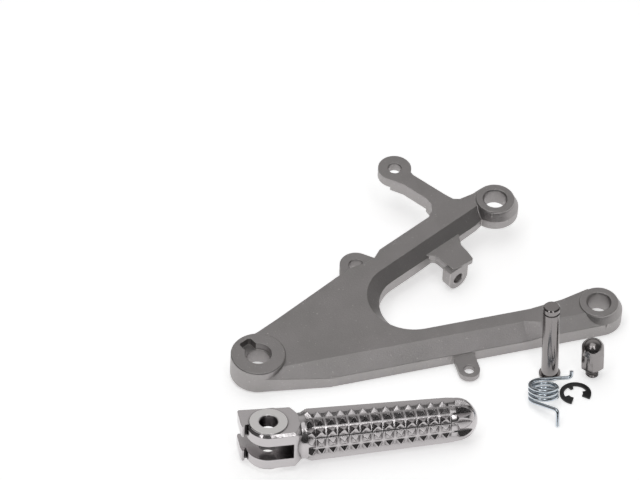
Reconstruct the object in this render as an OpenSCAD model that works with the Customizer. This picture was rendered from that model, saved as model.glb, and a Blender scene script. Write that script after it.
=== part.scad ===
// Rear set hanger and folding footrest of a road motorcycle, laid out loose with its fittings.
// Six pieces stand or lie on one floor at z = 0: the hanger, the footpeg, its pivot pin,
// its return spring, the retaining ring of the pin and the banking feeler.
// The view that the layout was made for looks along +Y, with +X to the right.

/* [Hanger casting] */
// Thickness of the flat web
web_t = 10.2; // [9:0.1:12]
// Height of the vertical wall under the bevels, from the back face
wall_h = 5.8; // [4.5:0.1:7]
// Width of the lower arm, outer wall to inner wall
arm_w = 15.1; // [13:0.1:15.4]
// Width of the bevel along the outer edge of the lower arm
bevel_w = 8.4; // [6:0.1:9]
// Width of the flank along the inner side of the upper arm
flank_w = 6; // [4:0.1:7]
// Angle between the lower and the upper arm
vee_angle = 27.2; // [25:0.1:29]
// Distance from the keyed boss to the deepest point of the gap
vee_depth = 62.7; // [60:0.1:66]

/* [Hanger bosses] */
// Diameter of the keyed boss
key_boss_d = 25; // [23:0.5:27]
// Height of the keyed boss
key_boss_h = 12.3; // [11.5:0.1:13.5]
// Bore of the keyed boss
key_bore_d = 11.2; // [9:0.1:11.6]
// Recess diameter in the keyed boss
key_recess_d = 12.2; // [11.8:0.1:13.5]
// Depth of the recess and its key slot
key_depth = 4; // [2:0.1:5]
// Width of the key slot
key_slot_w = 6.4; // [4:0.1:7.5]
// Reach of the key slot from the bore axis
key_slot_r = 9.8; // [8.5:0.1:10.8]
// Diameter of the skirt of the two fixing bosses
boss_d = 22; // [20:0.5:23]
// Diameter of the raised pad of the two fixing bosses
boss_pad_d = 18; // [16:0.5:19]
// Height of the two fixing bosses
boss_h = 11; // [10.5:0.1:13.5]
// Bore for the fixing bolts
bolt_bore_d = 10.5; // [8.2:0.1:11]
// Distance from the keyed boss to the lower fixing boss
lower_boss_x = 159.7; // [154:0.1:165]
// Upper fixing boss, along the lower arm
upper_boss_x = 132.3; // [129:0.1:134]
// Upper fixing boss, across the lower arm
upper_boss_y = 66.9; // [65:0.1:68]

// Height of the back seat of the upper boss over that of the lower one (mm)
upper_seat = 2; // [0.5:0.1:3]

/* [Hanger tabs and lug] */
// Bore of the back tab
tab_bore_d = 6.6; // [5:0.1:7]
// Bore of the slim arm
slim_bore_d = 6; // [5:0.1:6.6]
// Outer diameter of the eye on the slim arm
slim_eye_d = 15.5; // [14:0.1:17]
// Width of the slim arm
slim_w = 7.6; // [6:0.1:8.5]
// Thickness of the slim arm
slim_t = 7; // [5:0.1:9]
// Thickness of the eye on the slim arm
slim_eye_t = 5; // [4:0.1:7]
// Bore of the front tab
front_bore_d = 4.8; // [4:0.1:5.4]
// Width of the front tab
front_w = 9.8; // [8.5:0.1:11]
// Thickness of the front tab
front_t = 2.9; // [2:0.1:4]
// Width of the rounded body of the threaded lug
lug_w = 11.2; // [10:0.1:12]
// Tapping bore for the thread in the lug and in the footpeg
tap_d = 5; // [4.2:0.1:5.2]

/* [Footpeg] */
// Pitch of the knurl along the footpeg
knurl_pitch = 5.15; // [4.6:0.05:5.3]
// Rings of knurl pyramids
knurl_rings = 12; // [8:1:12]
// Depth of the knurl
knurl_depth = 2; // [1:0.1:2.4]
// Radius over the knurl at the clevis end
grip_r = 11.5; // [11:0.1:12]
// Loss of radius per millimetre of length
grip_taper = 0.025; // [0.01:0.001:0.035]
// Thickness of the clevis over its pads
clevis_h = 21; // [20:0.1:22]
// Gap between the ears, for the spring
clevis_gap = 8; // [7.9:0.1:9]
// Radius of the ear ends
ear_r = 9.9; // [9.5:0.1:10.5]
// Diameter of the machined pads on the ears
pad_d = 17.4; // [16:0.1:19]
// Height of the machined pads
pad_h = 0.5; // [0.3:0.1:1]

/* [Pivot pin and retaining ring] */
// Diameter of the pin
pin_d = 7.8; // [7.5:0.1:8.5]
// Running clearance of the pin in the ears
pin_gap = 0.2; // [0.1:0.05:0.4]
// Length of the pin over its head
pin_len = 41; // [38:0.5:46]
// Diameter of the pin head
pin_head_d = 9.9; // [9.6:0.1:12]
// Thickness of the pin head
pin_head_t = 1.8; // [1.2:0.1:2.5]
// Diameter of the ring groove
groove_d = 7; // [6.8:0.1:7.2]
// Width of the ring groove
groove_w = 1.05; // [0.95:0.01:1.2]
// Distance of the ring groove from the pin end
groove_end = 2.5; // [1.5:0.1:3]
// Outer diameter of the retaining ring
ring_d = 14.3; // [13.6:0.1:15]
// Thickness of the retaining ring
ring_t = 0.9; // [0.8:0.01:0.94]

/* [Return spring] */
// Wire diameter
wire_d = 1.8; // [1.5:0.05:1.9]
// Outer diameter of the coil
coil_d = 14.2; // [13.6:0.1:14.8]
// Pitch of the coil
coil_pitch = 2.1; // [1.95:0.01:2.2]

/* [Banking feeler] */
// Width over the flats of the hexagon
hex_af = 10; // [9:0.5:11]
// Length of the feeler without its stud
feeler_len = 14.8; // [13:0.1:18]
// Outer diameter of the stud thread
stud_d = 5.9; // [5.6:0.1:6]
// Length of the stud
stud_len = 5.4; // [4:0.1:8]

/* [Hidden] */
$fn = 96;
eps = 0.02;

cast_satin = [0.56, 0.55, 0.54];
cast_bright = [0.72, 0.72, 0.73];
steel_bright = [0.66, 0.64, 0.64];
zinc = [0.6, 0.66, 0.72];
steel_black = [0.13, 0.13, 0.13];

// Hanger: x runs along the lower arm from the keyed boss, the back face is z = 0
front_y = -17;
inner_y = front_y + arm_w;
lower_boss = [lower_boss_x, front_y + boss_d / 2];
upper_boss = [upper_boss_x, upper_boss_y];
bevel_drop = web_t - wall_h;
slim_eye = [92.6, 97.2];
tab_eye = [59.7, 46.9];
front_eye = [92.1, front_y - 9.2];
lug_face = [105.2, 33.4];
lug_z = -1.2;
lug_deep = 5;
lug_angle = vee_angle - 0.8;
// The hanger leans on the front edge of its lower arm and on the round of the lug
lug_reach = lug_face[1] - front_y;
tilt_about = (lug_w / 2 - lug_z) / lug_reach;
hanger_tilt = atan((lug_w / 2 * sqrt(1 + pow(sin(lug_angle) * tilt_about, 2)) - lug_z) / lug_reach);

// Layout on the floor
hanger_at = [-72.37, -45.5];
hanger_yaw = 15.9;
peg_at = [-71.77, -85.8];
peg_yaw = 10.5;
pin_at = [55.33, -29];
ring_at = pin_at + [11.3, -13.2];
feeler_at = pin_at + [19.2, 0.5];
spring_at = pin_at + [-3.4, -19.3];

// The circle that touches both sides of the gap when the upper side is moved back by d
apex_x = (inner_y - 38.1) / tan(vee_angle) + 83.1;
function gap_tip(d) = apex_x - d / sin(vee_angle);
function gap_reach(d, x_min) = (x_min - gap_tip(d)) / (cos(vee_angle / 2) - sin(vee_angle / 2));
function gap_r(d, x_min) = gap_reach(d, x_min) * sin(vee_angle / 2);
function gap_c(d, x_min) = [
    gap_tip(d) + gap_reach(d, x_min) * cos(vee_angle / 2),
    inner_y + gap_r(d, x_min)
];
// A point on the upper side of the gap, moved back by d
function gap_side(x, d) = [x, inner_y + (x - gap_tip(d)) * tan(vee_angle)];

wall_r = gap_r(0, vee_depth);
wall_c = gap_c(0, vee_depth);
edge_min = vee_depth - flank_w + 0.7;
over = 1 + 0.2 / bevel_drop;
flank_r = gap_r(flank_w * over, vee_depth + (edge_min - vee_depth) * over);
flank_c = gap_c(flank_w * over, vee_depth + (edge_min - vee_depth) * over);

// Footpeg: x runs along the grip from the pin axis, z along the pin
ear_t = (clevis_h - 2 * pad_h - clevis_gap) / 2;
block_h = clevis_h - 2 * pad_h;
knurl_x0 = 19.9;
knurl_x1 = knurl_x0 + knurl_rings * knurl_pitch;
nose_x = knurl_x1 + 3.6;
function tip_r(x) = grip_r - grip_taper * (x - knurl_x0);
function root_r(x) = tip_r(x) - knurl_depth;
// The long grooves go a little deeper than the rings
function groove_r(x) = root_r(x) - 0.25;
neck_r = 10.3;
nose_r = tip_r(nose_x) - 0.2;
// The grip lies on its smooth side, which stands a little proud of the knurl
smooth_up = 0.15;
peg_lean = atan(grip_taper);
peg_z = (tip_r(0) + smooth_up) * cos(peg_lean);
// The knurl faces up in use, halfway between the front and the top of this layout
row_angle = 30;
row_mid = 45;
row_count = 5;
row_span = row_angle * row_count;
groove_slope = (tip_r(50) * cos(row_angle / 2) - groove_r(50)) / (tip_r(50) * sin(row_angle / 2));

coil_r = (coil_d - wire_d) / 2;
leg_len = 14.2;

// Hanger casting

module hanger_plan() {
    difference() {
        polygon([
            [-1.6, -12.3],
            [29, front_y],
            [lower_boss[0], front_y],
            lower_boss,
            lower_boss + [-2.3, 9.5],
            [144, inner_y + 2],
            [128, inner_y],
            wall_c + wall_r * [0, -1],
            wall_c + wall_r * [-sin(vee_angle), cos(vee_angle)],
            gap_side(120.5, 0),
            gap_side(124, 0.6),
            upper_boss + [-4.6, -10],
            upper_boss,
            upper_boss + [-4.2, 8.4],
            [123.2, 72.9],
            [116.4, 71.2],
            [113.4, 72.1],
            [108.8, 77.8],
            [101.6, 75.0],
            [102.8, 71.2],
            [102.0, 67.3],
            [99.2, 63.7],
            [71.5, 49.6],
            [67.9, 45.4],
            [63.3, 43.6],
            [54.3, 41.5],
            [14.6, 19.9],
            [7, 16],
            [3.5, 14.2],
            [-1.5, 12.4],
            [-8, 0]
        ]);
        translate(wall_c) circle(r = wall_r);
    }
}

// Wedge over the outer bevel, raised by up
module bevel_wedge(x0, x1, up) {
    translate([x0, 0, up])
        rotate([90, 0, 90])
            linear_extrude(x1 - x0)
                polygon([
                    [front_y + bevel_w, web_t],
                    [front_y + bevel_w, web_t + 3],
                    [front_y - 2, web_t + 3],
                    [front_y - 2, wall_h - 2 * bevel_drop / bevel_w]
                ]);
}

// Funnel over the gap, which leaves the sloping flank of the upper arm
module flank_funnel() {
    top = web_t + 0.2;
    hull() {
        translate([wall_c[0], wall_c[1], wall_h]) cylinder(r = wall_r, h = eps, $fn = 64);
        translate([flank_c[0], flank_c[1], top]) cylinder(r = flank_r, h = eps, $fn = 64);
        translate([128, inner_y, wall_h]) cube([eps, eps, top - wall_h]);
        translate([128, gap_side(128, 0)[1], wall_h]) cube([eps, eps, eps]);
        translate([128, gap_side(128, flank_w * over)[1], top]) cube([eps, eps, eps]);
    }
}

module fixing_boss(at, skirt_h) {
    translate([at[0], at[1], 0])
        rotate_extrude()
            polygon([
                [0, 0],
                [boss_d / 2, 0],
                [boss_d / 2, skirt_h],
                [boss_pad_d / 2 + 0.3, web_t - 0.3],
                [boss_pad_d / 2, web_t],
                [boss_pad_d / 2, boss_h - 0.3],
                [boss_pad_d / 2 - 0.3, boss_h],
                [0, boss_h]
            ]);
}

module keyed_boss() {
    rotate_extrude()
        polygon([
            [0, 0],
            [key_boss_d / 2, 0],
            [key_boss_d / 2, key_boss_h - 0.5],
            [key_boss_d / 2 - 0.5, key_boss_h],
            [0, key_boss_h]
        ]);
}

// Slim arm that carries the eye at the back
module slim_arm() {
    dir = [cos(130), sin(130)];
    side = [sin(130), -cos(130)];
    foot = [105.4, 75.9];
    head = [96.8, 88.6];
    translate([slim_eye[0], slim_eye[1], web_t - slim_eye_t]) cylinder(d = slim_eye_d, h = slim_eye_t);
    translate([0, 0, web_t - slim_t])
        linear_extrude(slim_t)
            polygon([
                head - side * slim_w / 2,
                foot - side * slim_w / 2 - dir * 1.5,
                foot - dir * 6,
                foot + side * slim_w / 2 - dir * 3,
                head + side * slim_w / 2,
                slim_eye + [slim_eye_d / 2 - 1.3, -3.8],
                slim_eye + [1, -4.6],
                slim_eye + [-3.9, -6.6]
            ]);
}

module back_tab() {
    linear_extrude(wall_h)
        union() {
            translate(tab_eye) circle(r = 7.6);
            polygon([
                [48, 36],
                [50.4, 41.5],
                tab_eye + [-7.6, 0],
                tab_eye,
                tab_eye + [4.3, 6.3],
                [69.6, 48.6],
                [72, 47],
                [66, 40]
            ]);
        }
}

module front_tab() {
    top = wall_h - 0.5;
    translate([0, 0, top - front_t])
        linear_extrude(front_t) {
            translate(front_eye) circle(d = front_w);
            polygon([
                front_eye + [-front_w / 2, 0],
                front_eye + [front_w / 2, 0],
                [front_eye[0] + front_w / 2, front_y - 1.6],
                [front_eye[0] + front_w / 2 + 1.4, front_y + 1],
                [front_eye[0] - front_w / 2 - 1.4, front_y + 1],
                [front_eye[0] - front_w / 2, front_y - 1.6]
            ]);
        }
}

// Lug with a threaded hole across the gap, flat on top and round below
module lug() {
    half = lug_w / 2;
    deep = lug_deep;
    reach = 14.3;
    fillet = 3;
    translate([lug_face[0], lug_face[1], 0])
        rotate([0, 0, lug_angle]) {
            // round body that hangs below the back face
            translate([0, deep, 0])
                rotate([90, 0, 0])
                    linear_extrude(deep) {
                        translate([0, lug_z]) circle(d = lug_w);
                        translate([-half, lug_z]) square([lug_w, wall_h - lug_z]);
                    }
            // neck that joins it to the arm, with a fillet on the inner side
            translate([0, 0, 1])
                linear_extrude(wall_h - 1)
                    difference() {
                        polygon([
                            [-3 - fillet, reach + 1],
                            [-3 - fillet, reach - fillet],
                            [-3, reach - fillet],
                            [-3, deep - 1],
                            [half, deep - 1],
                            [half, reach + 1]
                        ]);
                        translate([-3 - fillet, reach - fillet]) circle(r = fillet);
                    }
            // plate, wider on the outer side
            translate([0, 0, wall_h - 1.6])
                linear_extrude(2.4)
                    polygon([
                        [-3.6 - fillet, reach + 1],
                        [-4, reach - fillet + 0.8],
                        [-3.2, reach - fillet - 2],
                        [-3.2, 0.7],
                        [7.7, -0.5],
                        [8.5, 0.1],
                        [9.5, 4.8],
                        [10.1, 9.6],
                        [11.5, 12],
                        [13.8, reach + 1]
                    ]);
        }
}

module bore(at, d, z0, z1, edge = 0.5) {
    translate([at[0], at[1], z0 - 1]) cylinder(d = d, h = z1 - z0 + 2);
    translate([at[0], at[1], z1 - edge]) cylinder(d1 = d, d2 = d + 2 * edge + 0.2, h = edge + 0.1);
    translate([at[0], at[1], z0 - 0.1]) cylinder(d1 = d + 2 * edge + 0.2, d2 = d, h = edge + 0.1);
}

// The back of the upper arm rises to the seat of its boss
module upper_relief() {
    rotate([0, 0, vee_angle])
        translate([0, 60, 0])
            rotate([90, 0, 0])
                linear_extrude(72.5)
                    polygon([
                        [54, -upper_seat],
                        [136, upper_seat],
                        [170, upper_seat],
                        [170, -upper_seat]
                    ]);
}

module hanger() {
    difference() {
        union() {
            difference() {
                linear_extrude(web_t) hanger_plan();
                bevel_wedge(-20, 123, 0);
                hull() {
                    bevel_wedge(122.9, 123, 0);
                    bevel_wedge(130, 130.1, 1);
                }
                bevel_wedge(130, 175, 1);
                flank_funnel();
                upper_relief();
            }
            keyed_boss();
            fixing_boss(lower_boss, wall_h + 1);
            difference() {
                fixing_boss(upper_boss, wall_h + 0.6);
                upper_relief();
            }
            slim_arm();
            back_tab();
            front_tab();
            lug();
        }
        bore([0, 0], key_bore_d, 0, key_boss_h - key_depth / 2, 0.3);
        translate([0, 0, key_boss_h - key_depth])
            linear_extrude(key_depth + 1) {
                circle(d = key_recess_d);
                rotate([0, 0, 115.4])
                    translate([0, -key_slot_w / 2])
                        polygon([
                            [0, 0],
                            [key_slot_r - 0.8, 0],
                            [key_slot_r, 0.8],
                            [key_slot_r, key_slot_w - 0.8],
                            [key_slot_r - 0.8, key_slot_w],
                            [0, key_slot_w]
                        ]);
            }
        bore(lower_boss, bolt_bore_d, 0, boss_h, 0.6);
        bore(upper_boss, bolt_bore_d, upper_seat, boss_h, 0.6);
        bore(tab_eye, tab_bore_d, 0, wall_h, 0.3);
        bore(slim_eye, slim_bore_d, web_t - slim_eye_t, web_t, 0.3);
        bore(front_eye, front_bore_d, wall_h - 0.5 - front_t, wall_h - 0.5, 0.2);
        translate([lug_face[0], lug_face[1], lug_z])
            rotate([0, 0, lug_angle])
                rotate([-90, 0, 0]) {
                    translate([0, 0, -1]) cylinder(d = tap_d, h = 1 + lug_deep + 1);
                    translate([0, 0, lug_deep]) cylinder(d = tap_d + 1.4, h = 5);
                    translate([0, 0, -0.1]) cylinder(d1 = tap_d + 1.2, d2 = tap_d, h = 0.6);
                }
    }
}

module bracket() {
    color(cast_satin)
        translate([hanger_at[0], hanger_at[1], 0])
            rotate([0, 0, hanger_yaw])
                rotate([hanger_tilt, 0, 0])
                    translate([0, -front_y, 0])
                        hanger();
}

// Footpeg casting

module clevis_plan() {
    intersection() {
        circle(r = ear_r);
        translate([-15, -15]) square([30, 15 + 9.2]);
    }
    polygon([
        [-11.7, 9.9],
        [-12.4, 9.2],
        [-12.4, 0.6],
        [-11.9, -1.6],
        [-11, -1.6],
        [-10.4, 0],
        [-9, 0],
        [0, -ear_r],
        [10.6, -ear_r],
        [14.5, -7.4],
        [14.5, 6.8],
        [10.6, 8.4]
    ]);
}

// Chamfer of the outer edge of an ear, on the front side and round the end
module ear_chamfer() {
    reach = ear_r + 4;
    difference() {
        translate([0, -reach, block_h / 2 - 1.2]) cube([11, reach, 3]);
        translate([-1, -ear_r, block_h / 2 - 1.2])
            rotate([45, 0, 0])
                translate([0, 0, -20]) cube([14, 40, 20]);
    }
    rotate([0, 0, 180])
        rotate_extrude(angle = 90)
            polygon([
                [ear_r - 1.2, block_h / 2],
                [ear_r + 0.2, block_h / 2 - 1.4],
                [ear_r + 0.2, block_h / 2 + 1],
                [ear_r - 1.2, block_h / 2 + 1]
            ]);
}

module clevis() {
    difference() {
        intersection() {
            translate([0, 0, -block_h / 2]) linear_extrude(block_h) clevis_plan();
            // the four long corners run out round the neck
            rotate([0, 90, 0])
                rotate_extrude()
                    polygon([
                        [0, -15],
                        [17, -15],
                        [17, 8],
                        [13.6, 10.4],
                        [10.6, 13.6],
                        [9.4, 15],
                        [0, 15]
                    ]);
        }
        translate([-20, -20, -clevis_gap / 2]) cube([30, 40, clevis_gap]);
        ear_chamfer();
        mirror([0, 0, 1]) ear_chamfer();
    }
    // machined pads on the outer faces
    for (s = [0, 1])
        mirror([0, 0, s])
            translate([0, 0, block_h / 2 - 1])
                rotate_extrude()
                    polygon([
                        [0, 0],
                        [pad_d / 2, 0],
                        [pad_d / 2, 1 + pad_h - 0.2],
                        [pad_d / 2 - 0.2, 1 + pad_h],
                        [0, 1 + pad_h]
                    ]);
}

// Saw-tooth outline of the knurl
function tooth_row() = [
    for (k = [0 : knurl_rings - 1])
        let (x = knurl_x0 + k * knurl_pitch)
        each [[root_r(x), x], [tip_r(x + knurl_pitch / 2), x + knurl_pitch / 2]]
];

// Neck, collar tooth, rings of teeth, relief groove and domed nose
module knurled_body() {
    rotate([0, 90, 0])
        rotate_extrude() {
            polygon(concat(
                [[0, 11.5], [8.6, 11.5], [neck_r, 14], [neck_r, 15.4], [tip_r(18), 18]],
                tooth_row(),
                [
                    [root_r(knurl_x1), knurl_x1],
                    [nose_r - 1.6, knurl_x1 + 0.6],
                    [nose_r - 1.6, nose_x - 0.8],
                    [nose_r, nose_x],
                    [0, nose_x]
                ]
            ));
            translate([0, nose_x])
                intersection() {
                    circle(r = nose_r);
                    square(nose_r + 1);
                }
        }
}

// Smooth side of the grip, from one outer groove round to the other
module plain_side() {
    rotate([0, 90, 0])
        rotate([0, 0, row_span / 2 - row_mid - 92])
            rotate_extrude(angle = 364 - row_span)
                polygon([
                    [0, 17.9],
                    [tip_r(18) - 0.25, 17.9],
                    [tip_r(18.4) + smooth_up, 18.4],
                    [tip_r(knurl_x1) + smooth_up, knurl_x1],
                    [nose_r + 0.05, nose_x - 0.3],
                    [nose_r - 0.4, nose_x + 0.6],
                    [0, nose_x + 0.6]
                ]);
}

// Long V grooves that part the knurl and the nose into rows
module row_grooves() {
    for (k = [0 : row_count])
        rotate([90 - row_mid - row_span / 2 + row_angle * k, 0, 0])
            translate([16.4, 0, groove_r(16.4)])
                rotate([0, atan(grip_taper), 0])
                    rotate([90, 0, 90])
                        linear_extrude(nose_x + nose_r - 12.4)
                            polygon([
                                [0, 0],
                                [5.4, 5.4 * groove_slope],
                                [-5.4, 5.4 * groove_slope]
                            ]);
}

module grip() {
    difference() {
        union() {
            knurled_body();
            plain_side();
        }
        row_grooves();
    }
}

module peg() {
    difference() {
        union() {
            clevis();
            grip();
        }
        bore([0, 0], pin_d + pin_gap, -clevis_h / 2, clevis_h / 2, 0.5);
        // tapped hole for the banking feeler in a milled flat, underneath in use
        translate([76, 0, 0])
            rotate([-90 - row_mid, 0, 0]) {
                translate([0, 0, -1]) cylinder(d = tap_d, h = 14);
                translate([-6, -8, tip_r(76) - 1.8]) cube([12, 16, 4]);
            }
    }
}

module footpeg() {
    color(cast_bright)
        translate([peg_at[0], peg_at[1], peg_z])
            rotate([0, 0, peg_yaw])
                rotate([0, peg_lean, 0])
                    peg();
}

// Headed pin with a ring groove, standing on its head

module pivot_pin() {
    g1 = pin_len - groove_end;
    g0 = g1 - groove_w;
    color(steel_bright)
        translate([pin_at[0], pin_at[1], 0])
            rotate_extrude()
                polygon([
                    [0, 0],
                    [pin_head_d / 2 - 0.4, 0],
                    [pin_head_d / 2, 0.4],
                    [pin_head_d / 2, pin_head_t - 0.2],
                    [pin_head_d / 2 - 0.2, pin_head_t],
                    [pin_d / 2, pin_head_t],
                    [pin_d / 2, g0],
                    [groove_d / 2, g0],
                    [groove_d / 2, g1],
                    [pin_d / 2, g1],
                    [pin_d / 2, pin_len - 0.6],
                    [pin_d / 2 - 0.6, pin_len],
                    [0, pin_len]
                ]);
}

// Retaining ring: three prongs point in, and the mouth opens on one side

module e_clip() {
    r = ring_d / 2;
    color(steel_black)
        translate([ring_at[0], ring_at[1], 0])
            rotate([0, 0, 112])
                linear_extrude(ring_t)
                    difference() {
                        circle(r = r);
                        difference() {
                            circle(r = r - 1.9);
                            // middle prong and the two lips at the mouth
                            intersection() {
                                circle(r = r);
                                union() {
                                    polygon([[0, 0], [9, -1.2], [9, 2.4]]);
                                    polygon([[0, 0], [-1, 9], [-9, 9], [-9, 5.2]]);
                                    polygon([[0, 0], [-1, -9], [-9, -9], [-9, -5.2]]);
                                }
                            }
                        }
                        circle(r = groove_d / 2 - 0.15);
                        polygon([[0, 0], [-9, 7], [-9, -7]]);
                    }
}

// Torsion spring: a close coil with one straight leg at each end

function coil_point(a) = [
    coil_r * cos(a),
    coil_r * sin(a),
    wire_d / 2 + coil_pitch * (coil_last - a) / 360
];
coil_last = 1306;
coil_start = 100;
leg_back = [cos(coil_start - 90), sin(coil_start - 90), 0];
leg_root = coil_point(coil_start);
leg_dir = [cos(-44), sin(-44), 0];
leg_foot = coil_point(coil_last) + leg_len * leg_dir;
tip_drop = 7.6;
// Heights of the leg tip and of the lowest turn when the coil leans back by t
function tip_low(t) =
    -(leg_foot[1] + wire_d / 2) * sin(t) + (leg_foot[2] - tip_drop) * cos(t);
function coil_low(t) = min([
    for (a = [coil_last - 360 : 3 : coil_last])
        coil_point(a)[2] * cos(t) - coil_point(a)[1] * sin(t)
]) - wire_d / 2;
// The spring leans back until the tip and the lowest turn are level
function settle(lo, hi, n) =
    let (t = (lo + hi) / 2)
    n == 0 ? t : tip_low(t) < coil_low(t) ? settle(t, hi, n - 1) : settle(lo, t, n - 1);
spring_tilt = settle(5, 40, 16);
spring_path = concat(
    [
        leg_root + leg_len * leg_back + [0, 0, 3],
        leg_root + leg_len * leg_back + [0, 0, 1.5],
        leg_root + (leg_len - 0.4) * leg_back + [0, 0, 0.5],
        leg_root + (leg_len - 1.4) * leg_back,
        leg_root + 7 * leg_back
    ],
    [for (k = [0 : 64]) coil_point(coil_start + k * (coil_last - coil_start) / 64)],
    [
        coil_point(coil_last) + 7 * leg_dir,
        leg_foot - 1.4 * leg_dir,
        leg_foot + [-0.25, 0.25, -0.4],
        leg_foot + [0, 0, -1.6],
        leg_foot + [0, 0, -tip_drop]
    ]
);

function unit(v) = v / norm(v);
function along(p, i) = unit(p[min(i + 1, len(p) - 1)] - p[max(i - 1, 0)]);
// Each ring of the sweep keeps the side direction of the ring before it
function sides(p, i, s) = i >= len(p) ? [] :
    let (t = along(p, i), v = unit(s - (s * t) * t))
    concat([v], sides(p, i + 1, v));

module wire(p, d, n) {
    side = sides(p, 0, [0, 1, 0]);
    rings = [
        for (i = [0 : len(p) - 1])
            let (t = along(p, i), u = side[i], v = cross(t, u))
            for (j = [0 : n - 1])
                p[i] + d / 2 * (cos(360 * j / n) * u + sin(360 * j / n) * v)
    ];
    last = len(p) - 1;
    polyhedron(
        points = rings,
        faces = concat(
            [[for (j = [0 : n - 1]) j]],
            [
                for (i = [0 : last - 1])
                    for (j = [0 : n - 1])
                        let (k = (j + 1) % n)
                        [i * n + j, (i + 1) * n + j, (i + 1) * n + k, i * n + k]
            ],
            [[for (j = [n - 1 : -1 : 0]) last * n + j]]
        ),
        convexity = 8
    );
}

module return_spring() {
    color(zinc)
        translate([spring_at[0], spring_at[1], -tip_low(spring_tilt)])
            rotate([-spring_tilt, 0, 0])
                wire(spring_path, wire_d, 12);
}

// Banking feeler: domed hexagon on a threaded stud, standing on the stud

module banking_pin() {
    dome = hex_af / 2 + 0.5;
    top = stud_len + feeler_len;
    color(steel_bright)
        translate([feeler_at[0], feeler_at[1], 0]) {
            intersection() {
                translate([0, 0, stud_len])
                    rotate([0, 0, -90])
                        cylinder(d = hex_af / cos(30), h = feeler_len, $fn = 6);
                union() {
                    translate([0, 0, top - dome]) sphere(r = dome);
                    translate([0, 0, stud_len])
                        rotate_extrude()
                            polygon([
                                [0, 0],
                                [dome - 0.5, 0],
                                [dome + 0.3, 0.6],
                                [dome + 0.3, feeler_len - dome - 1.2],
                                [dome, feeler_len - dome],
                                [0, feeler_len - dome]
                            ]);
                }
            }
            rotate_extrude()
                polygon([
                    [0, 0],
                    [stud_d / 2 - 0.5, 0],
                    [stud_d / 2, 0.5],
                    [stud_d / 2, stud_len + 0.1],
                    [0, stud_len + 0.1]
                ]);
        }
}

bracket();
footpeg();
pivot_pin();
return_spring();
e_clip();
banking_pin();
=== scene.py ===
"""Looks for a motorcycle rear set laid out loose: cast hanger, knurled footpeg and fittings."""

import math

import bmesh
import bpy
from mathutils import Matrix, Vector


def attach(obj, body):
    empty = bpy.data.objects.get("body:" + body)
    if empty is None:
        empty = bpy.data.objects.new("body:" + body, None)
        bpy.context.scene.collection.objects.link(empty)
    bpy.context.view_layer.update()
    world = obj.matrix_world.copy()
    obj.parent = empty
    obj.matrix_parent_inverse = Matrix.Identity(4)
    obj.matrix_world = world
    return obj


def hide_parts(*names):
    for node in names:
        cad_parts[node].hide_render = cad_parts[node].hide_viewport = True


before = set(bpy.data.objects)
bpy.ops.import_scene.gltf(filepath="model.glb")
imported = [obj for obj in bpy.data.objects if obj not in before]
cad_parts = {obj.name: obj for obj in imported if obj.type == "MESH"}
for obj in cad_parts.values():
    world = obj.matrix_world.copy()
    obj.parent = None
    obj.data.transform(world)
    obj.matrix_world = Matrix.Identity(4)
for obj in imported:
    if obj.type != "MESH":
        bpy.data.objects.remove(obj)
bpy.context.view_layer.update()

MM = 0.001

# Places in metres, angles in degrees and sizes in millimetres. Those that a solid has too are
# as in the part's source
HANGER_AT = Vector((-72.37, -45.5, 0)) * MM
HANGER_YAW = 15.9
HANGER_TILT = 7.695
FRONT_Y = -17
LUG_FACE = (105.2, 33.4, -1.2)
LUG_ANGLE = 26.4
LUG_THREAD_RADII = (2.27, 2.49)
LUG_THREAD_LENGTH = 4.3
# From the lug's face to the first ridge of its thread
LUG_MOUTH = 0.55

PEG_AT = Vector((-71.77, -85.8, 12.1437)) * MM
PEG_YAW = 10.5
GRIP_RADIUS = 11.5
GRIP_TAPER = 0.025
PEG_LEAN = math.degrees(math.atan(GRIP_TAPER))
KNURL_START = 19.9
KNURL_END = 81.7
KNURL_RINGS = 12
KNURL_ROWS = 5
ROW_ANGLE = 30
# The first row starts this far from straight up, and the rows go on round the front
FIRST_ROW = -30
LAST_ROW = FIRST_ROW + KNURL_ROWS * ROW_ANGLE
KNURL_DEPTH = 2.0
# Both long sides of the toothed wedge lie this much deeper
SIDE_DEEPER = 0.25
# Width of the channels between teeth, height of a tooth over them, and half width of a ridge
CHANNEL = 1.0
TOOTH_HEIGHT = 2.25
RIDGE = 0.3

PIN_AT = Vector((55.33, -29, 0)) * MM
FEELER_AT = PIN_AT + Vector((19.2, 0.5, 0)) * MM
STUD_LENGTH = 5.4
STUD_RADIUS = 2.95
THREAD_PITCH = 1.0
THREAD_DEPTH = 0.55

SPRING_AT = PIN_AT + Vector((-3.4, -19.3, 0)) * MM
WIRE_RADIUS = 0.9
# The swept wire is a hair thinner than the solid's
SWEPT_RADIUS = 0.89
COIL_RADIUS = 6.2
COIL_PITCH = 2.1
# The coil's upper and lower end and the step between its points, in degrees of turn
COIL_START = 100
COIL_END = 1306
COIL_STEP = 9
UPPER_LEG_ANGLE = 10
LOWER_LEG_ANGLE = -44
LEG_LENGTH = 14.2
UPPER_TIP = 3
LOWER_TIP = 7.6
BEND_RADIUS = 1.6

LOOK_AT = Vector((-0.04867, 0.0656, 0))
CAMERA_RISE = math.radians(40.2)
CAMERA_DISTANCE = 2.7907
LENS_MM = 337.5

# Sockets of the Mix node where it mixes colours
FACTOR, FIRST, SECOND, MIXED = 0, 6, 7, 2


def turn(axis, degrees):
    """A rotation about one axis."""
    return Matrix.Rotation(math.radians(degrees), 4, axis)


HANGER = (
    Matrix.Translation(HANGER_AT)
    @ turn("Z", HANGER_YAW)
    @ turn("X", HANGER_TILT)
    @ Matrix.Translation(Vector((0, -FRONT_Y, 0)) * MM)
)
PEG = Matrix.Translation(PEG_AT) @ turn("Z", PEG_YAW) @ turn("Y", PEG_LEAN)


# Nodes and colours


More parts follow.
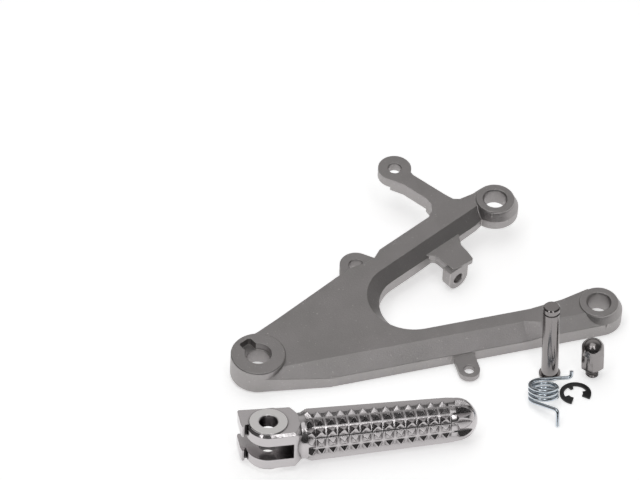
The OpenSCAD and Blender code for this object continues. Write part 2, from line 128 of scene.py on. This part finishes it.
def linear(hex_colour):
    """An sRGB hex colour as linear red, green, blue and alpha."""
    out = []
    for start in (1, 3, 5):
        c = int(hex_colour[start : start + 2], 16) / 255
        out.append(c / 12.92 if c <= 0.04045 else ((c + 0.055) / 1.055) ** 2.4)
    return (*out, 1.0)


def connect(tree, node, inputs):
    """Sets a node's inputs, each as a value or as a link from another node's socket."""
    for name, value in inputs.items():
        if isinstance(value, bpy.types.NodeSocket):
            tree.links.new(value, node.inputs[name])
        else:
            node.inputs[name].default_value = value


def add(tree, kind, inputs=None, **settings):
    """Adds a node with its settings and links."""
    node = tree.nodes.new(kind)
    for name, value in settings.items():
        setattr(node, name, value)
    connect(tree, node, inputs or {})
    return node


def per_mm(size):
    """The texture scale that gives features of this size in millimetres."""
    return 1000.0 / size


def new_material(name):
    """A new material. Returns it with its tree and its shader."""
    material = bpy.data.materials.new(name)
    material.use_nodes = True
    tree = material.node_tree
    return material, tree, tree.nodes["Principled BSDF"]


def satin_cast_aluminium():
    """Sand-cast aluminium under a thin satin silver coat.

    It gives an even grey whose fine grain breaks up each reflection.
    """
    material, tree, shell = new_material("satin_cast_aluminium")
    where = add(tree, "ShaderNodeTexCoord").outputs["Object"]
    # The sand's grain, drawn at 0.7 mm so that it shows, and clouds of 16 mm where the coat varies
    grain = add(
        tree,
        "ShaderNodeTexNoise",
        {"Vector": where, "Scale": per_mm(0.7), "Detail": 4.0, "Roughness": 0.6},
    ).outputs["Fac"]
    cloud = add(
        tree, "ShaderNodeTexNoise", {"Vector": where, "Scale": per_mm(16.0), "Detail": 3.0}
    ).outputs["Fac"]
    thickness = add(tree, "ShaderNodeMapRange", {"Value": cloud, "From Min": 0.3, "From Max": 0.7})
    coat = add(
        tree,
        "ShaderNodeMix",
        {FACTOR: thickness.outputs["Result"], FIRST: linear("#A3A09F"), SECOND: linear("#ACA8A8")},
        data_type="RGBA",
    )
    # A few pale specks, about 1 mm apart, where the coat has chipped off a grain
    specks = add(
        tree, "ShaderNodeTexNoise", {"Vector": where, "Scale": per_mm(0.9), "Detail": 1.0}
    ).outputs["Fac"]
    chipped = add(
        tree,
        "ShaderNodeMapRange",
        {"Value": specks, "From Min": 0.7, "From Max": 0.78, "To Max": 0.6},
    )
    speckled = add(
        tree,
        "ShaderNodeMix",
        {FACTOR: chipped.outputs["Result"], FIRST: coat.outputs[MIXED], SECOND: linear("#D8D4D2")},
        data_type="RGBA",
    )
    satin = add(
        tree,
        "ShaderNodeMapRange",
        {"Value": grain, "From Min": 0.3, "From Max": 0.7, "To Min": 0.36, "To Max": 0.5},
    )
    edges = add(tree, "ShaderNodeBevel", {"Radius": 0.6 * MM}, samples=8)
    # Edges are where the rounded normal leaves the flat one, and the coat has rubbed thin there
    flat = add(tree, "ShaderNodeNewGeometry")
    along = add(
        tree,
        "ShaderNodeVectorMath",
        {0: edges.outputs["Normal"], 1: flat.outputs["Normal"]},
        operation="DOT_PRODUCT",
    )
    rubbed = add(
        tree,
        "ShaderNodeMapRange",
        {"Value": along.outputs["Value"], "From Min": 0.995, "From Max": 0.93, "To Max": 0.7},
    )
    metal = add(
        tree,
        "ShaderNodeMix",
        {
            FACTOR: rubbed.outputs["Result"],
            FIRST: speckled.outputs[MIXED],
            SECOND: linear("#CFCCCA"),
        },
        data_type="RGBA",
    )
    skin = add(
        tree,
        "ShaderNodeBump",
        {"Height": grain, "Distance": 0.15 * MM, "Normal": edges.outputs["Normal"]},
    )
    connect(
        tree,
        shell,
        {
            "Metallic": 1.0,
            "Base Color": metal.outputs[MIXED],
            "Roughness": satin.outputs["Result"],
            "Normal": skin.outputs["Normal"],
        },
    )
    return material


def polished_casting():
    """Cast aluminium, tumbled bright.

    The ridges shine. Where the surface is hemmed in, in the grooves and other hollows, painted
    shade darkens it and it is duller too. The pads round the bore are milled flat, so they are
    paler and softer than the rest.
    """
    material, tree, shell = new_material("polished_casting")
    where = add(tree, "ShaderNodeTexCoord").outputs["Object"]
    own = add(
        tree,
        "ShaderNodeMapping",
        {
            "Vector": where,
            "Location": PEG_AT,
            "Rotation": (0.0, math.radians(PEG_LEAN), math.radians(PEG_YAW)),
        },
        vector_type="TEXTURE",
    ).outputs["Vector"]
    axes = add(tree, "ShaderNodeSeparateXYZ", {"Vector": own})
    # Pads: within 8.5 mm of the pin's axis and more than 10.2 mm from the clevis's middle
    flat = add(tree, "ShaderNodeVectorMath", {0: own, 1: (1.0, 1.0, 0.0)}, operation="MULTIPLY")
    radius = add(tree, "ShaderNodeVectorMath", {0: flat.outputs["Vector"]}, operation="LENGTH")
    height = add(tree, "ShaderNodeMath", {0: axes.outputs["Z"]}, operation="ABSOLUTE")
    on_top = add(
        tree,
        "ShaderNodeMapRange",
        {"Value": height.outputs[0], "From Min": 10.2 * MM, "From Max": 10.3 * MM},
    )
    inside = add(
        tree,
        "ShaderNodeMapRange",
        {
            "Value": radius.outputs["Value"],
            "From Min": 8.4 * MM,
            "From Max": 8.55 * MM,
            "To Min": 1.0,
            "To Max": 0.0,
        },
    )
    pad = add(
        tree,
        "ShaderNodeMath",
        {0: on_top.outputs["Result"], 1: inside.outputs["Result"]},
        operation="MULTIPLY",
    ).outputs[0]
    # Painted shade: ambient occlusion darkens the colour towards near black where the surface is
    # hemmed in, and also dulls it
    hollow = add(
        tree, "ShaderNodeAmbientOcclusion", {"Distance": 9.0 * MM}, samples=10, only_local=True
    )
    unshaded_and_polished = add(
        tree,
        "ShaderNodeMapRange",
        {"Value": hollow.outputs["AO"], "From Min": 0.45, "From Max": 0.97},
    ).outputs["Result"]
    # Painted shade in the hollows, near black, rising to the bright metal where nothing hems the
    # surface in
    metal = add(
        tree,
        "ShaderNodeMix",
        {FACTOR: unshaded_and_polished, FIRST: linear("#3B3737"), SECOND: linear("#C6C2C3")},
        data_type="RGBA",
    )
    colour = add(
        tree,
        "ShaderNodeMix",
        {FACTOR: pad, FIRST: metal.outputs[MIXED], SECOND: linear("#F4F2F1")},
        data_type="RGBA",
    )
    shine = add(tree, "ShaderNodeMapRange", {"Value": unshaded_and_polished, "To Min": 0.34, "To Max": 0.17})
    dulled = add(tree, "ShaderNodeMapRange", {"Value": pad, "To Min": 0.0, "To Max": 0.2})
    roughness = add(
        tree,
        "ShaderNodeMath",
        {0: shine.outputs["Result"], 1: dulled.outputs["Result"]},
        operation="ADD",
    )
    # The soft unevenness that tumbling leaves, about 2.4 mm across
    peel = add(tree, "ShaderNodeTexNoise", {"Vector": where, "Scale": per_mm(2.4), "Detail": 2.0})
    edges = add(tree, "ShaderNodeBevel", {"Radius": 0.3 * MM}, samples=8)
    skin = add(
        tree,
        "ShaderNodeBump",
        {
            "Height": peel.outputs["Fac"],
            "Distance": 0.1 * MM,
            "Strength": 0.6,
            "Normal": edges.outputs["Normal"],
        },
    )
    connect(
        tree,
        shell,
        {
            "Metallic": 1.0,
            "Base Color": colour.outputs[MIXED],
            "Roughness": roughness.outputs[0],
            "Normal": skin.outputs["Normal"],
        },
    )
    return material


def turned_steel(name, dark, light, roughness, ring_mm):
    """Turned steel with a thin bright plate: a grey mirror with faint rings from the tool."""
    material, tree, shell = new_material(name)
    where = add(tree, "ShaderNodeTexCoord").outputs["Object"]
    axes = add(tree, "ShaderNodeSeparateXYZ", {"Vector": where})
    up = add(tree, "ShaderNodeCombineXYZ", {"Z": axes.outputs["Z"]})
    rings = add(
        tree,
        "ShaderNodeTexNoise",
        {"Vector": up.outputs["Vector"], "Scale": per_mm(ring_mm), "Detail": 3.0, "Roughness": 0.6},
    ).outputs["Fac"]
    metal = add(
        tree,
        "ShaderNodeMix",
        {FACTOR: rings, FIRST: linear(dark), SECOND: linear(light)},
        data_type="RGBA",
    )
    edges = add(tree, "ShaderNodeBevel", {"Radius": 0.15 * MM}, samples=6)
    skin = add(
        tree,
        "ShaderNodeBump",
        {"Height": rings, "Distance": 0.01 * MM, "Normal": edges.outputs["Normal"]},
    )
    connect(
        tree,
        shell,
        {
            "Metallic": 1.0,
            "Roughness": roughness,
            "Base Color": metal.outputs[MIXED],
            "Normal": skin.outputs["Normal"],
        },
    )
    return material


def zinc_wire():
    """Bright blue zinc on drawn wire: cool and shiny, slightly uneven along its length."""
    material, tree, shell = new_material("zinc_wire")
    where = add(tree, "ShaderNodeTexCoord").outputs["Object"]
    drawn = add(
        tree, "ShaderNodeTexNoise", {"Vector": where, "Scale": per_mm(1.5), "Detail": 2.0}
    ).outputs["Fac"]
    metal = add(
        tree,
        "ShaderNodeMix",
        {FACTOR: drawn, FIRST: linear("#B9C2CB"), SECOND: linear("#D3D9DE")},
        data_type="RGBA",
    )
    shine = add(
        tree,
        "ShaderNodeMapRange",
        {"Value": drawn, "From Min": 0.3, "From Max": 0.7, "To Min": 0.1, "To Max": 0.16},
    )
    connect(
        tree,
        shell,
        {"Metallic": 1.0, "Base Color": metal.outputs[MIXED], "Roughness": shine.outputs["Result"]},
    )
    return material


def black_spring_steel():
    """Phosphated spring steel, oiled: nearly black, with a soft grey sheen."""
    material, tree, shell = new_material("black_spring_steel")
    where = add(tree, "ShaderNodeTexCoord").outputs["Object"]
    # Phosphate crystals, drawn at 0.4 mm so that they show
    crystals = add(
        tree,
        "ShaderNodeTexNoise",
        {"Vector": where, "Scale": per_mm(0.4), "Detail": 4.0, "Roughness": 0.6},
    ).outputs["Fac"]
    coat = add(
        tree,
        "ShaderNodeMix",
        {FACTOR: crystals, FIRST: linear("#151415"), SECOND: linear("#262525")},
        data_type="RGBA",
    )
    sheen = add(
        tree,
        "ShaderNodeMapRange",
        {"Value": crystals, "From Min": 0.3, "From Max": 0.7, "To Min": 0.34, "To Max": 0.5},
    )
    edges = add(tree, "ShaderNodeBevel", {"Radius": 0.1 * MM}, samples=6)
    skin = add(
        tree,
        "ShaderNodeBump",
        {"Height": crystals, "Distance": 0.02 * MM, "Normal": edges.outputs["Normal"]},
    )
    connect(
        tree,
        shell,
        {
            "Base Color": coat.outputs[MIXED],
            "Roughness": sheen.outputs["Result"],
            "Normal": skin.outputs["Normal"],
        },
    )
    return material


# Pieces


def finished(name, shape, material):
    """Makes a finished bmesh a smooth-shaded piece that rides on the only body."""
    bmesh.ops.recalc_face_normals(shape, faces=shape.faces)
    mesh = bpy.data.meshes.new(name)
    shape.to_mesh(mesh)
    shape.free()
    piece = bpy.data.objects.new(name, mesh)
    bpy.context.scene.collection.objects.link(piece)
    mesh.materials.append(material)
    # A solid's own corner normals don't fit its copy once the doubles are merged
    if mesh.has_custom_normals:
        mesh.attributes.remove(mesh.attributes["custom_normal"])
    mesh.shade_smooth()
    mesh.set_sharp_from_angle(angle=math.radians(35))
    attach(piece, "root")
    return piece


def merged_copy(node):
    """A CAD node's shape with its doubles merged. The node itself stays as it is."""
    shape = bmesh.new()
    shape.from_mesh(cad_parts[node].data)
    bmesh.ops.remove_doubles(shape, verts=shape.verts, dist=1e-6)
    return shape


def put_in(shape, other):
    """Moves another shape's faces into this one."""
    mesh = bpy.data.meshes.new("moved")
    other.to_mesh(mesh)
    other.free()
    shape.from_mesh(mesh)
    bpy.data.meshes.remove(mesh)


def cut_off(shape, z, outward):
    """Cuts away what lies past this height in millimetres, up (1) or down (-1)."""
    bmesh.ops.bisect_plane(
        shape,
        geom=shape.verts[:] + shape.edges[:] + shape.faces[:],
        plane_co=(0, 0, z * MM),
        plane_no=(0, 0, outward),
        clear_outer=True,
    )


def coil_point(angle):
    """A point on the coil's own line, in millimetres, before the spring leans back."""
    a = math.radians(angle)
    height = WIRE_RADIUS + COIL_PITCH * (COIL_END - angle) / 360
    return Vector((COIL_RADIUS * math.cos(a), COIL_RADIUS * math.sin(a), height))


def level(angle):
    """A level direction, in degrees from X."""
    return Vector((math.cos(math.radians(angle)), math.sin(math.radians(angle)), 0))


def quarter_bend(corner, leg, tip):
    """Points round a square bend, from the leg's direction into the tip's."""
    return [
        corner - BEND_RADIUS * (1 - math.sin(t)) * leg + BEND_RADIUS * (1 - math.cos(t)) * tip
        for t in (math.pi / 2 * k / 6 for k in range(7))
    ]


def spring_line():
    """The wire's centre line, leg, coil and leg, with rounded bends."""
    back, out = level(UPPER_LEG_ANGLE), level(LOWER_LEG_ANGLE)
    up = Vector((0, 0, 1))
    top, low = coil_point(COIL_START), coil_point(COIL_END)
    along_leg = (2.0, 5.0, 9.0)
    corner = top + LEG_LENGTH * back
    line = [corner + UPPER_TIP * up]
    line += reversed(quarter_bend(corner, back, up))
    line += [top + d * back for d in reversed(along_leg)]
    line += [coil_point(angle) for angle in range(COIL_START, COIL_END + 1, COIL_STEP)]
    line += [low + d * out for d in along_leg]
    corner = low + LEG_LENGTH * out
    line += quarter_bend(corner, out, -up)
    line += [corner - LOWER_TIP * up]
    return line


def spring_lean():
    """The lean that levels the lower leg's tip with the lowest turn, and the lift to the floor."""
    foot = coil_point(COIL_END) + LEG_LENGTH * level(LOWER_LEG_ANGLE)

    def tip(t):
        return -(foot.y + WIRE_RADIUS) * math.sin(t) + (foot.z - LOWER_TIP) * math.cos(t)

    def turn_low(t):
        points = (coil_point(angle) for angle in range(COIL_END - 360, COIL_END + 1, 3))
        return min(p.z * math.cos(t) - p.y * math.sin(t) for p in points) - WIRE_RADIUS

    # The lean is somewhere between these two, and each pass halves the range
    low, high = math.radians(5), math.radians(40)
    for _ in range(24):
        t = (low + high) / 2
        low, high = (t, high) if tip(t) < turn_low(t) else (low, t)
    return t, -tip(t)


def return_spring(material):
    """Round wire swept along the spring's line, with flat cut ends."""
    lean, lift = spring_lean()
    place = Matrix.Translation(SPRING_AT + Vector((0, 0, lift * MM)))
    place = place @ Matrix.Rotation(-lean, 4, "X")
    curve = bpy.data.curves.new("spring_line", "CURVE")
    curve.dimensions = "3D"
    curve.bevel_depth = SWEPT_RADIUS * MM
    curve.bevel_resolution = 6
    curve.use_fill_caps = True
    line = spring_line()
    spline = curve.splines.new("POLY")
    spline.points.add(len(line) - 1)
    for point, p in zip(spline.points, line):
        point.co = (*(place @ (p * MM)), 1)
    source = bpy.data.objects.new("spring_line", curve)
    bpy.context.scene.collection.objects.link(source)
    bpy.context.view_layer.update()
    shape = bmesh.new()
    shape.from_mesh(bpy.data.meshes.new_from_object(source))
    bpy.data.objects.remove(source)
    bmesh.ops.remove_doubles(shape, verts=shape.verts, dist=1e-7)
    piece = finished("spring_wire", shape, material)
    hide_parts("return_spring")


def tip_radius(along):
    """The grip's taper over the tips of its teeth, in millimetres."""
    return GRIP_RADIUS - GRIP_TAPER * (along - KNURL_START)


def knurled_rows():
    """The grip's toothed wedge: rows of pyramids with rounded ridges and channels between them."""
    shape = bmesh.new()
    pitch = (KNURL_END - KNURL_START) / KNURL_RINGS
    rings = [KNURL_START + pitch * k for k in range(KNURL_RINGS + 1)]
    # The wedge reaches this far into the solid at both ends
    overlap = 1.2
    stations = [KNURL_START - overlap, *rings, KNURL_END + overlap]
    profile = [(x, tip_radius(x) - KNURL_DEPTH) for x in stations]
    profile = [(stations[0], 0.0), *profile, (stations[-1], 0.0)]
    start = turn("X", FIRST_ROW)
    line = [shape.verts.new(start @ (Vector((x, 0, r)) * MM)) for x, r in profile]
    side = shape.faces.new(line)
    bmesh.ops.spin(
        shape,
        geom=line + shape.edges[:] + [side],
        axis=(1, 0, 0),
        cent=(0, 0, 0),
        angle=math.radians(LAST_ROW - FIRST_ROW),
        steps=KNURL_ROWS,
    )
    bmesh.ops.remove_doubles(shape, verts=shape.verts, dist=1e-7)
    for angle in (FIRST_ROW, LAST_ROW):
        out = turn("X", angle) @ Vector((0, 0, 1))
        rim = []
        for vert in shape.verts:
            from_axis = Vector((0, vert.co.y, vert.co.z))
            if from_axis.normalized().dot(out) > 0.999:
                rim.append(vert)
        bmesh.ops.translate(shape, verts=rim, vec=-SIDE_DEEPER * MM * out)
    bmesh.ops.recalc_face_normals(shape, faces=shape.faces)
    flats = []
    for face in shape.faces:
        middle = face.calc_center_median()
        toothed = KNURL_START * MM < middle.x < KNURL_END * MM
        if toothed and len(face.verts) == 4 and middle.yz.length > GRIP_RADIUS / 2 * MM:
            flats.append(face)
    bmesh.ops.inset_individual(shape, faces=flats, thickness=CHANNEL / 2 * MM, use_even_offset=True)
    tips = bmesh.ops.poke(shape, faces=flats, offset=TOOTH_HEIGHT * MM, center_mode="MEAN")["verts"]
    tips = set(tips)
    ridges = [edge for edge in shape.edges if not tips.isdisjoint(edge.verts)]
    bmesh.ops.bevel(
        shape,
        geom=ridges,
        offset=RIDGE * MM,
        offset_type="OFFSET",
        segments=2,
        profile=0.5,
        affect="EDGES",
        clamp_overlap=True,
        material=-1,
    )
    bmesh.ops.transform(shape, matrix=PEG, verts=shape.verts)
    return shape


def footpeg(material):
    """The solid's clevis, neck, plain side and nose, with the toothed wedge set into it."""
    shape = merged_copy("footpeg")
    own = PEG.inverted()
    # Only faces this near the teeth are cut
    reach = 3
    near_start, near_end = (KNURL_START - reach) * MM, (KNURL_END + reach) * MM
    cuts = [(Vector((x, 0, 0)) * MM, Vector((1, 0, 0))) for x in (KNURL_START, KNURL_END)]
    cuts += [(Vector((0, 0, 0)), turn("X", a) @ Vector((0, 1, 0))) for a in (FIRST_ROW, LAST_ROW)]
    for point, across in cuts:
        near = {f for f in shape.faces if near_start < (own @ f.calc_center_median()).x < near_end}
        touched = [v for v in (*shape.verts, *shape.edges) if not near.isdisjoint(v.link_faces)]
        bmesh.ops.bisect_plane(
            shape,
            geom=touched + [face for face in shape.faces if face in near],
            dist=1e-7,
            plane_co=PEG @ point,
            plane_no=PEG.to_3x3() @ across,
        )
    old_teeth = []
    for face in shape.faces:
        x, y, z = own @ face.calc_center_median()
        around = math.degrees(math.atan2(-y, z))
        if KNURL_START * MM < x < KNURL_END * MM and FIRST_ROW < around < LAST_ROW:
            old_teeth.append(face)
    bmesh.ops.delete(shape, geom=old_teeth, context="FACES")
    put_in(shape, knurled_rows())
    piece = finished("peg", shape, material)
    # Weighs each corner's normal by the size of its faces, so the teeth keep flat sides
    flat_sides = piece.modifiers.new("flat_sides", "WEIGHTED_NORMAL")
    flat_sides.keep_sharp = True
    flat_sides.weight = 80
    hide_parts("footpeg")


def helical_thread(crest, root, length):
    """A thread spun up along Z from 0 to its length, in millimetres, and cut flat at both ends."""
    shape = bmesh.new()
    # It starts a turn and a half below, and its turns reach past both ends
    start = -THREAD_PITCH * 1.5
    count = int(length / THREAD_PITCH) + 3
    steps = 36
    points = []
    # Each turn rises to a crest that is about a sixth of the pitch wide
    for k in range(count):
        z = start + k * THREAD_PITCH
        points += [(root, z), (crest, z + 0.42 * THREAD_PITCH), (crest, z + 0.58 * THREAD_PITCH)]
    points.append((root, start + count * THREAD_PITCH))
    line = [shape.verts.new(Vector((r, 0, z)) * MM) for r, z in points]
    edges = [shape.edges.new(pair) for pair in zip(line, line[1:])]
    bmesh.ops.spin(
        shape,
        geom=line + edges,
        axis=(0, 0, 1),
        cent=(0, 0, 0),
        dvec=(0, 0, THREAD_PITCH * MM / steps),
        angle=math.radians(360),
        steps=steps,
    )
    bmesh.ops.remove_doubles(shape, verts=shape.verts, dist=1e-6)
    cut_off(shape, 0, -1)
    cut_off(shape, length, 1)
    return shape


def banking_feeler(material):
    """The domed hexagon of the solid, on a stud that carries a real thread."""
    shape = merged_copy("banking_pin")
    # Half a millimetre of plain stud stays under the hexagon, and the thread runs up over it
    cut_off(shape, STUD_LENGTH - 0.5, -1)
    thread = helical_thread(STUD_RADIUS, STUD_RADIUS - THREAD_DEPTH, STUD_LENGTH)
    bmesh.ops.transform(thread, matrix=Matrix.Translation(FEELER_AT), verts=thread.verts)
    rim = [e for e in thread.edges if e.is_boundary and all(v.co.z < 1e-6 for v in e.verts)]
    bmesh.ops.contextual_create(thread, geom=rim)
    put_in(shape, thread)
    piece = finished("feeler", shape, material)
    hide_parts("banking_pin")


def lug_thread(material):
    """The ridges of the internal thread that show in the mouth of the lug."""
    shape = helical_thread(*LUG_THREAD_RADII, LUG_THREAD_LENGTH)
    angle = math.radians(LUG_ANGLE)
    inward = Vector((-math.sin(angle), math.cos(angle), 0))
    across = Vector((math.cos(angle), math.sin(angle), 0))
    up = inward.cross(across)
    mouth = Vector(LUG_FACE) * MM + inward * LUG_MOUTH * MM
    place = Matrix.Translation(mouth) @ Matrix((across, up, inward)).transposed().to_4x4()
    bmesh.ops.transform(shape, matrix=HANGER @ place, verts=shape.verts)
    finished("lug_thread", shape, material)


# Stage, light and camera


def floor():
    """A sheet of white paper, a fifth of a millimetre under the pieces so that no faces meet."""
    shape = bmesh.new()
    bmesh.ops.create_grid(shape, x_segments=1, y_segments=1, size=6)
    mesh = bpy.data.meshes.new("floor")
    shape.to_mesh(mesh)
    shape.free()
    sheet = bpy.data.objects.new("floor", mesh)
    sheet.location = (0, 0, -0.0002)
    bpy.context.scene.collection.objects.link(sheet)
    material, tree, shell = new_material("white_paper")
    rays = add(tree, "ShaderNodeLightPath")
    # Its glow shows to the camera and in reflections, but doesn't light the pieces
    seen = rays.outputs["Is Camera Ray"]
    for kind in ("Is Glossy Ray", "Is Transmission Ray"):
        both = add(tree, "ShaderNodeMath", {0: seen, 1: rays.outputs[kind]}, operation="MAXIMUM")
        seen = both.outputs[0]
    glow = add(tree, "ShaderNodeMath", {0: seen, 1: 0.5}, operation="MULTIPLY").outputs[0]
    connect(
        tree,
        shell,
        {
            "Base Color": linear("#F4F4F4"),
            "Roughness": 0.9,
            "Specular IOR Level": 0.2,
            "Emission Color": linear("#FFFFFF"),
            "Emission Strength": glow,
        },
    )
    mesh.materials.append(material)


def studio_world():
    """A dim room with a pale wall behind the table and a low pale one to its right."""
    world = bpy.data.worlds.new("studio")
    bpy.context.scene.world = world
    world.use_nodes = True
    tree = world.node_tree
    where = add(tree, "ShaderNodeTexCoord").outputs["Generated"]
    axes = add(tree, "ShaderNodeSeparateXYZ", {"Vector": where})
    behind = add(
        tree,
        "ShaderNodeMapRange",
        {
            "Value": axes.outputs["Y"],
            "From Min": 0.1,
            "From Max": 0.75,
            "To Min": 0.1,
            "To Max": 0.62,
        },
        interpolation_type="SMOOTHSTEP",
    )
    right = add(
        tree,
        "ShaderNodeMapRange",
        {"Value": axes.outputs["X"], "From Min": 0.7, "From Max": 0.92, "To Max": 0.8},
        interpolation_type="SMOOTHSTEP",
    )
    low = add(
        tree,
        "ShaderNodeMapRange",
        {
            "Value": axes.outputs["Z"],
            "From Min": 0.1,
            "From Max": 0.35,
            "To Min": 1.0,
            "To Max": 0.0,
        },
        interpolation_type="SMOOTHSTEP",
    )
    side = add(
        tree,
        "ShaderNodeMath",
        {0: right.outputs["Result"], 1: low.outputs["Result"]},
        operation="MULTIPLY",
    )
    # The wall behind starts above the table's far edge
    raised = add(
        tree,
        "ShaderNodeMapRange",
        {
            "Value": axes.outputs["Z"],
            "From Min": 0.25,
            "From Max": 0.55,
            "To Min": 0.3,
            "To Max": 1.0,
        },
        interpolation_type="SMOOTHSTEP",
    )
    wall = add(
        tree,
        "ShaderNodeMath",
        {0: behind.outputs["Result"], 1: raised.outputs["Result"]},
        operation="MULTIPLY",
    )
    light = add(
        tree,
        "ShaderNodeMath",
        {0: wall.outputs[0], 1: side.outputs[0]},
        operation="MAXIMUM",
    )
    connect(
        tree,
        tree.nodes["Background"],
        {"Color": linear("#FFFEFD"), "Strength": light.outputs[0]},
    )


def softbox(name, place, width, height, watts):
    """A rectangular lamp, aimed at the middle of the set."""
    lamp = bpy.data.lights.new(name, "AREA")
    lamp.shape = "RECTANGLE"
    lamp.size = width
    lamp.size_y = height
    lamp.energy = watts
    box = bpy.data.objects.new(name, lamp)
    box.location = place
    box.rotation_euler = (-Vector(place)).to_track_quat("-Z", "Y").to_euler()
    bpy.context.scene.collection.objects.link(box)
    return box


def camera():
    """A long lens from the front, looking down on the set."""
    data = bpy.data.cameras.new("camera")
    data.sensor_width = 36
    data.lens = LENS_MM
    data.clip_end = 20
    eye = bpy.data.objects.new("camera", data)
    back = Vector((0, -math.cos(CAMERA_RISE), math.sin(CAMERA_RISE)))
    eye.location = LOOK_AT + CAMERA_DISTANCE * back
    eye.rotation_euler = (math.radians(90) - CAMERA_RISE, 0, 0)
    bpy.context.scene.collection.objects.link(eye)
    bpy.context.scene.camera = eye


def dress(node, material):
    """Gives a CAD node its material."""
    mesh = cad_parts[node].data
    mesh.materials.clear()
    mesh.materials.append(material)


cast = satin_cast_aluminium()
dress("bracket", cast)
footpeg(polished_casting())
pin_steel = turned_steel("turned_bright_steel", "#8A8686", "#989493", roughness=0.17, ring_mm=0.4)
dress("pivot_pin", pin_steel)
dress("e_clip", black_spring_steel())
return_spring(zinc_wire())
nickel = turned_steel("bright_nickel_steel", "#908C8C", "#9C9897", roughness=0.19, ring_mm=0.5)
banking_feeler(nickel)
lug_thread(cast)

floor()
studio_world()
softbox("softbox_left", (-0.75, -1.0, 1.7), 0.25, 0.9, 2.2)
softbox("softbox_right", (0.45, -1.0, 1.7), 0.25, 0.9, 2.4)
softbox("softbox_top", (-0.1, -0.25, 2.2), 1.9, 1.7, 9.5)
softbox("fill", (-0.3, 0.1, 2.2), 2.2, 2.2, 9).visible_glossy = False
camera()
bpy.context.scene.view_settings.view_transform = "Standard"
